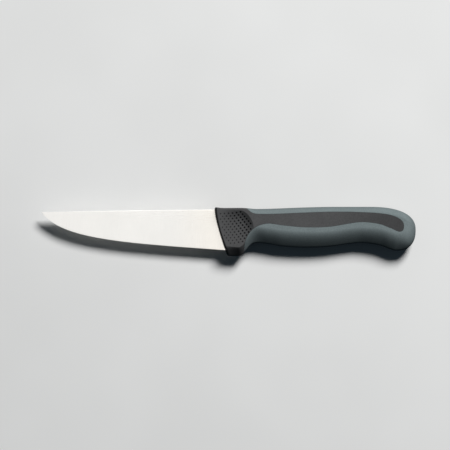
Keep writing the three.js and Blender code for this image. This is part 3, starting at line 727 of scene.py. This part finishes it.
def dish_tool(side):
    """Tool for the dish that faces +Z or -Z, on rays from its middle so that its mesh follows the rim."""
    headroom, clearance = 3.0, 0.01
    angles = np.linspace(-math.pi, math.pi, DISH_RAYS + 1)[:-1]
    fade_reach = 1 / np.hypot(np.cos(angles) / DISH_REACH[0], np.sin(angles) / DISH_REACH[1])
    reach = np.minimum(rim_reach(angles) + RIM_OVERRUN, fade_reach)
    out = np.outer(np.linspace(0, 1, DISH_RINGS + 1)[1:], reach)
    plan = DISH_CENTRE + np.stack([out * np.cos(angles), out * np.sin(angles)], axis=2)
    wall = 1 - (1 - np.minimum(1, inside_rim(plan) / DISH_WALL)) ** 2
    fade = np.maximum(0, 1 - (out / fade_reach) ** 2) ** DISH_FADE_POWER
    depth = DISH_DEPTH * wall * fade - clearance
    # The collar's rings lean with its front edge, so a place on it belongs to a station further forward.
    leaning = front_x(plan[:, :, 1])
    across = plan[:, :, 0]
    upright = (across * UPRIGHT_RUN - leaning * LIP_X) / (UPRIGHT_RUN - leaning)
    stations = np.where(across < LIP_X, upright, across)
    floor = half_thickness(stations) - depth
    heights = side * np.concatenate([floor, np.full((1, DISH_RAYS), HALF + headroom)])
    plan = np.concatenate([plan, plan[-1:]])
    points = [(*DISH_CENTRE, side * floor[0].mean()), *np.dstack([plan, heights]).reshape(-1, 3)]
    rings = 1 + np.arange(plan.shape[0] * DISH_RAYS).reshape(-1, DISH_RAYS)
    beside = np.roll(rings, -1, axis=1)
    faces = [(0, b, a) for a, b in zip(rings[0], beside[0])]
    for i in range(len(rings) - 1):
        faces += zip(rings[i], beside[i], beside[i + 1], rings[i + 1])
    faces.append(tuple(rings[-1]))
    return drawn("dish_tool", points, [face[::side] for face in faces])


def anchor_pins(diameter):
    """Pins where soft plugs go through the core, midway between the tang and the belly of the tongue."""
    first_x = NOTCH[0] + LIP_SWEEP / 2
    pitch = (HOOK[0] - first_x) / ANCHOR_COUNT
    length = 2 * (HALF - SKIN + ANCHOR_OVERLAP)
    pins = []
    for k in range(ANCHOR_COUNT):
        x = first_x + pitch * (k + 0.5)
        tang_under = TANG_AXIS_Y - tang_half_height(min(x, TANG_END_X))
        pins.append(cross_pin(x, (tang_under + belly_y(x) + SKIN) / 2, diameter, length))
    return pins


core = handle_form("handle_core_moulding", 0, **FINE_MESH)
joined(core, window("window", SEAM), "INTERSECT")
joined(core, handle_form("tongue", SKIN + SEAM, **INNER_MESH), "UNION")
slot = steel_form("slot", SEAM)
for hole_x in TANG_HOLES_X:
    joined(slot, cross_pin(hole_x, TANG_AXIS_Y, TANG_HOLE - 2 * SEAM, ACROSS), "DIFFERENCE")
joined(core, slot, "DIFFERENCE")
for side in (1, -1):
    joined(core, dish_tool(side), "DIFFERENCE")
for pin in anchor_pins(ANCHOR + 2 * SEAM):
    joined(core, pin, "DIFFERENCE")

hard_plastic, hard_shader, on_hard = new_material("grained_hard_plastic")
hard_grain = on_hard.noise(scale=3600.0, detail=3.0, roughness=0.6)
hard_fleck = on_hard.noise(scale=1300.0, detail=2.0, roughness=0.5)
hard_cloud = on_hard.noise(scale=90.0, detail=3.0, roughness=0.6)
hard_tone = (0.4 * hard_cloud + 0.6 * hard_fleck).ramp(*NOISE_SPAN)
hard_at_front = hard_tone.blend(*HARD_FRONT)
hard_in_painted_shade = hard_tone.blend(*HARD_REAR_PAINTED_SHADE)
# Painted shade: the panel turns darker towards the butt.
feed(
    hard_shader,
    Base_Color=on_hard.along().ramp(*HARD_SHADE_SPAN).blend(hard_at_front, hard_in_painted_shade),
    Roughness=0.52 + 0.12 * hard_grain,
    Normal=hard_grain.bump(strength=0.5, depth=0.00004),
)
hard_shader.inputs["Specular IOR Level"].default_value = 0.0
painted(core, hard_plastic)

# Dimples: hollows in the thumb dish, made by pins of the mould in staggered rows that stop short of the rim,
# the collar's front edge, the guard and the grip. The plastic in them is painted darker, a painted shade
# that grows towards the rim.
DIMPLE_ROW = 1.92
DIMPLE_ROWS = range(-2, 12)
DIMPLE_PITCH = 2.83
DIMPLE_STEPS = range(-6, 4)
DIMPLE_CLIMB = [(0, -1.5), (14, -0.8), (28, 2.0)]  # how far a row is raised at places along it
DIMPLE_PLACE = (18.09, -5.47)
DIMPLE_LOWEST = -24.2
DIMPLE_RADIUS = 0.85
DIMPLE_DEPTH = (0.20, 0.40)
DIMPLE_SLANT = (1.0, 0.5, 0.0)  # the way in which the dimples get deeper and darker
DIMPLE_FADE = (3.0, 16.0)  # from where to where along that way
# Painted shade in the dimples, darkest towards the rim.
DIMPLE_SHADE_TONES = (0.036, 0.036, 0.037, 1), (0.010, 0.010, 0.011, 1)
FRONT_MARGIN = 2.4
RIM_MARGIN = 1.1
GRIP_MARGIN = (1.5, 0.35)  # past the lip at the notch's height, and how much more for each millimetre above
belly_margin = through([(GUARD[0], 7.4), (NOTCH[0], 11.9)])


def dimple_places():
    """Places in plan. The rows climb a little towards the rim."""
    places = []
    for row in DIMPLE_ROWS:
        for step in DIMPLE_STEPS:
            x = DIMPLE_PLACE[0] + DIMPLE_PITCH * (step + 0.5 * (row % 2))
            climb = np.interp(x, *np.transpose(DIMPLE_CLIMB))
            y = DIMPLE_PLACE[1] - DIMPLE_ROW * row + climb
            behind_front = x > front_x(y) + FRONT_MARGIN
            under_rim = inside_rim(np.array((x, y))) > RIM_MARGIN
            above_guard = y > max(DIMPLE_LOWEST, belly_y(x) + belly_margin(x))
            before_grip = x < LIP_X + GRIP_MARGIN[0] + GRIP_MARGIN[1] * (y - NOTCH[1])
            if behind_front and under_rim and above_guard and before_grip:
                places.append((x, y))
    return places


dimple_tree = bpy.data.node_groups.new("pressed_dimples", "GeometryNodeTree")
dimple_face = dimple_tree.interface
dimple_face.new_socket("Rays", in_out="INPUT", socket_type="NodeSocketGeometry")
dimple_inputs = {
    name: dimple_face.new_socket(name, in_out="INPUT", socket_type=kind).identifier
    for name, kind in (
        ("Collar", "NodeSocketObject"),
        ("Pin radius", "NodeSocketFloat"),
        ("Slant", "NodeSocketVector"),
        ("Fade start", "NodeSocketFloat"),
        ("Fade end", "NodeSocketFloat"),
        ("Depth at front", "NodeSocketFloat"),
        ("Depth at rim", "NodeSocketFloat"),
        ("Finish", "NodeSocketMaterial"),
    )
}
dimple_face.new_socket("Pins", in_out="OUTPUT", socket_type="NodeSocketGeometry")


def dimple_node(kind, settings, links):
    """Adds a node to the dimples' tree, with its sockets set to values or linked to other nodes' outputs."""
    made = dimple_tree.nodes.new(kind)
    for name, setting in settings.items():
        setattr(made, name, setting)
    for name, value in links.items():
        if isinstance(value, bpy.types.NodeSocket):
            dimple_tree.links.new(value, made.inputs[name])
        else:
            made.inputs[name].default_value = value
    return made.outputs


def vector_maths(operation, links, output=0):
    return dimple_node("ShaderNodeVectorMath", {"operation": operation}, links)[output]


# A ray from each place runs square to the blade's plane until it strikes the collar.
given = dimple_node("NodeGroupInput", {}, {})
collar = dimple_node("GeometryNodeObjectInfo", {"transform_space": "RELATIVE"}, {0: given["Collar"]})
ray_start = dimple_node("GeometryNodeInputPosition", {}, {})[0]
inward = vector_maths("MULTIPLY", {0: ray_start, 1: (0, 0, -1)})
cast_links = {"Target Geometry": collar["Geometry"], "Ray Direction": inward, "Ray Length": ACROSS}
struck = dimple_node("GeometryNodeRaycast", {}, cast_links)
# A ball of the pin's radius is set there, as deep as the place asks.
depth_links = {
    "Value": vector_maths("DOT_PRODUCT", {0: ray_start, 1: given["Slant"]}, "Value"),
    "From Min": given["Fade start"],
    "From Max": given["Fade end"],
    "To Min": given["Depth at front"],
    "To Max": given["Depth at rim"],
}
depth = dimple_node("ShaderNodeMapRange", {}, depth_links)["Result"]
above = dimple_node("ShaderNodeMath", {"operation": "SUBTRACT"}, {0: given["Pin radius"], 1: depth})[0]
stand_off = vector_maths("SCALE", {0: struck["Hit Normal"], "Scale": above})
pin_place = vector_maths("ADD", {0: struck["Hit Position"], 1: stand_off})
placed = dimple_node("GeometryNodeSetPosition", {}, {"Geometry": given["Rays"], "Position": pin_place})[0]
ball_links = {"Radius": given["Pin radius"], "Subdivisions": 3}
pin_ball = dimple_node("GeometryNodeMeshIcoSphere", {}, ball_links)["Mesh"]
pins = dimple_node("GeometryNodeInstanceOnPoints", {}, {"Points": placed, "Instance": pin_ball})[0]
real_pins = dimple_node("GeometryNodeRealizeInstances", {}, {"Geometry": pins})[0]
finish_links = {"Geometry": real_pins, "Material": given["Finish"]}
finished_pins = dimple_node("GeometryNodeSetMaterial", {}, finish_links)[0]
dimple_node("NodeGroupOutput", {}, {0: finished_pins})

# The plastic in the dimples is painted with shade, darker towards the rim.
dimple_painted_shade, dimple_shader, on_dimple = new_material("hard_plastic_painted_shade_in_dimples")
dimple_grain = on_dimple.noise(scale=3600.0, detail=3.0, roughness=0.6)
slant_values = {0: on_dimple, 1: DIMPLE_SLANT}
towards_rim = on_dimple.node("ShaderNodeVectorMath", {"operation": "DOT_PRODUCT"}, slant_values, "Value")
shade_span = [(INTO_FRAME @ Vector((x, 0, 0))).dot(Vector(DIMPLE_SLANT)) for x in DIMPLE_FADE]
feed(
    dimple_shader,
    Base_Color=towards_rim.ramp(*shade_span).blend(*DIMPLE_SHADE_TONES),
    Roughness=0.6 + 0.12 * dimple_grain,
    Normal=dimple_grain.bump(strength=0.4, depth=0.00003),
)
dimple_shader.inputs["Specular IOR Level"].default_value = 0.0

rays = [(x, y, side * ACROSS / 2) for x, y in dimple_places() for side in (1, -1)]
pin_tools = drawn("dimple_pins", rays, [])
pressing = pin_tools.modifiers.new("pressed dimples", "NODES")
pressing.node_group = dimple_tree
for name, value in (
    ("Collar", core),
    ("Pin radius", DIMPLE_RADIUS),
    ("Slant", DIMPLE_SLANT),
    ("Fade start", DIMPLE_FADE[0]),
    ("Fade end", DIMPLE_FADE[1]),
    ("Depth at front", DIMPLE_DEPTH[0]),
    ("Depth at rim", DIMPLE_DEPTH[1]),
    ("Finish", dimple_painted_shade),
):
    pressing[dimple_inputs[name]] = value
pin_mesh = bpy.data.meshes.new_from_object(pin_tools.evaluated_get(bpy.context.evaluated_depsgraph_get()))
pin_tools.modifiers.remove(pressing)
pin_tools.data = pin_mesh
joined(core, pin_tools, "DIFFERENCE")

finished(core, sharp_degrees=32)
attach(core, "root")
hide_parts("handle_core")

# Soft grip: one moulding in soft grey plastic over the core's tongue. It shows as the strip along the back,
# the butt and the belly with its hook for the little finger, flush with the core's panels, and four plugs
# of it cross the core.
SOFT_TONES = (0.147, 0.176, 0.180, 1), (0.182, 0.216, 0.220, 1)
grip = handle_form("soft_grip_moulding", 0, **FINE_MESH)
joined(grip, window("window", 0), "DIFFERENCE")
hollow = handle_form("hollow", SKIN, **INNER_MESH)
for pin in anchor_pins(ANCHOR):
    joined(hollow, pin, "DIFFERENCE")
joined(grip, hollow, "DIFFERENCE")

soft_plastic, soft_shader, on_soft = new_material("matte_soft_plastic")
soft_grain = on_soft.noise(scale=5200.0, detail=2.0, roughness=0.55)
soft_fleck = on_soft.noise(scale=1300.0, detail=2.0, roughness=0.5)
soft_cloud = on_soft.noise(scale=70.0, detail=3.0, roughness=0.6)
soft_tone = (0.3 * soft_cloud + 0.7 * soft_fleck).ramp(*NOISE_SPAN)
feed(
    soft_shader,
    Base_Color=soft_tone.blend(*SOFT_TONES),
    Roughness=0.60 + 0.12 * soft_grain,
    Normal=soft_grain.bump(strength=0.4, depth=0.00003),
)
soft_shader.inputs["Specular IOR Level"].default_value = 0.0
painted(grip, soft_plastic)
finished(grip, sharp_degrees=32)
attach(grip, "root")
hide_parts("soft_grip")

# Table: a plain pale board that the knife lies on. It is pale to the camera and in reflections, and throws
# little light back up, so that the belly of the handle stays in shade.
TABLE_SIZE = 6.0
TABLE_TONES = (0.74, 0.74, 0.73, 1), (0.77, 0.77, 0.76, 1)
TABLE_BOUNCE = (0.03, 0.03, 0.03, 1)


def seen_directly(tree):
    """1 for the rays of the camera and of reflections, 0 for the light that surfaces throw on each other."""
    ray = tree.nodes.new("ShaderNodeLightPath").outputs
    seen = Tint(tree, ray["Is Camera Ray"])
    for kind in ("Is Glossy Ray", "Is Transmission Ray"):
        seen = seen.maths("MAXIMUM", seen, Tint(tree, ray[kind]))
    return seen


corner = TABLE_SIZE / 2
table_points = [(-corner, -corner, 0), (corner, -corner, 0), (corner, corner, 0), (-corner, corner, 0)]
table = drawn("table", table_points, [(0, 1, 2, 3)])
table_paint, table_shader, on_table = new_material("pale_table_paint")
table_cloud = on_table.noise(scale=9.0, detail=2.0, roughness=0.5)
table_pale = table_cloud.ramp(*NOISE_SPAN).blend(*TABLE_TONES)
feed(
    table_shader,
    Base_Color=seen_directly(on_table.tree).blend(TABLE_BOUNCE, table_pale),
    Roughness=0.75 + 0.05 * table_cloud,
)
table_shader.inputs["Specular IOR Level"].default_value = 0.0
painted(table, table_paint)

# Studio light: one large soft lamp above the back of the knife, a little to the butt's side, and a faint
# even fill. The room is white to the camera and in reflections.
LAMP_DISTANCE = 3.0
LAMP_SIZE = 1.07
LAMP_WATTS = 114.0
LAMP_DIRECTION = Vector((0.339, 0.587, 0.735))
FILL = (0.0195, 0.028, 0.0355, 1)
WHITE = (1, 1, 1, 1)
lamp_data = bpy.data.lights.new("soft_lamp", "AREA")
lamp_data.shape = "DISK"
lamp_data.size = LAMP_SIZE
lamp_data.energy = LAMP_WATTS
lamp = bpy.data.objects.new("soft_lamp", lamp_data)
lamp.location = LAMP_DIRECTION.normalized() * LAMP_DISTANCE
lamp.rotation_mode = "QUATERNION"
lamp.rotation_quaternion = LAMP_DIRECTION.to_track_quat("Z", "Y")
bpy.context.scene.collection.objects.link(lamp)

room = bpy.data.worlds.new("white_room")
room.use_nodes = True
room_tree = room.node_tree
room_light = room_tree.nodes["Background"]
room_colour = seen_directly(room_tree).blend(FILL, WHITE)
room_tree.links.new(room_colour.socket, room_light.inputs["Color"])
bpy.context.scene.world = room
bpy.context.scene.view_settings.view_transform = "Standard"

# Camera: straight above the knife and far off, so that there is hardly any perspective, with the spine
# towards the top of the picture.
CAMERA_DISTANCE = 4.0
VIEW_WIDTH = 0.3179
VIEW_CENTRE = Vector((-0.00251, 0.00454, 0.0105))
camera_data = bpy.data.cameras.new("camera")
camera_data.lens = camera_data.sensor_width * CAMERA_DISTANCE / VIEW_WIDTH
camera = bpy.data.objects.new("camera", camera_data)
camera.location = VIEW_CENTRE + Vector((0, 0, CAMERA_DISTANCE))
bpy.context.scene.collection.objects.link(camera)
bpy.context.scene.camera = camera
